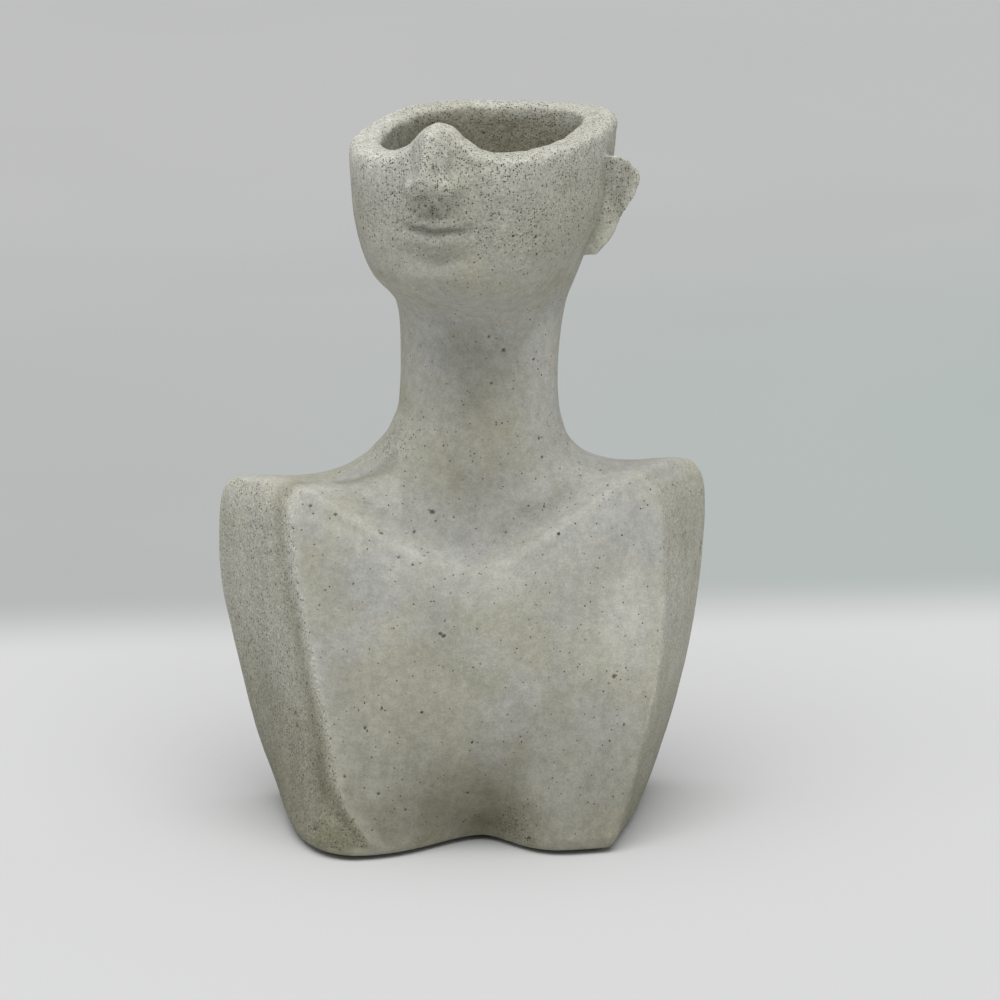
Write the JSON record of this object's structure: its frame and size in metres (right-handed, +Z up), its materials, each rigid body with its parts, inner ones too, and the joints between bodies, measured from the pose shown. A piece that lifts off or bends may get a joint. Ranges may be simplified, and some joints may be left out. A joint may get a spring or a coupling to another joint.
{
  "type": "head planter",
  "caption": "Concrete bust planter: torso with cut arms, long neck and half head with an open planting cavity, drain tube, pull-out drain plug and rubber pads.",
  "frame": {"origin": "middle of the whole outline seen from above, in the plane that the pads stand on", "axes": "+Z up; -Y the way the chest faces; +X towards the right of someone who looks at the chest"},
  "size_m": [0.1328, 0.0904, 0.1959],
  "materials": {
    "concrete": "raw cast",
    "tube_plastic": "matte",
    "plug_rubber": "matte",
    "pad_rubber": "matte"
  },
  "bodies": {
    "planter": {"cast_bust": "concrete", "drain_tube": "tube_plastic", "foot_front_left": "pad_rubber", "foot_front_right": "pad_rubber", "foot_back_left": "pad_rubber", "foot_back_right": "pad_rubber"},
    "plug": {"drain_plug": "plug_rubber"}
  },
  "joints": [
    {"name": "plug_pull", "type": "slide", "parent": "planter", "child": "plug", "axis": [0, 0, -1], "range_m": [0, 0.02]}
  ]
}
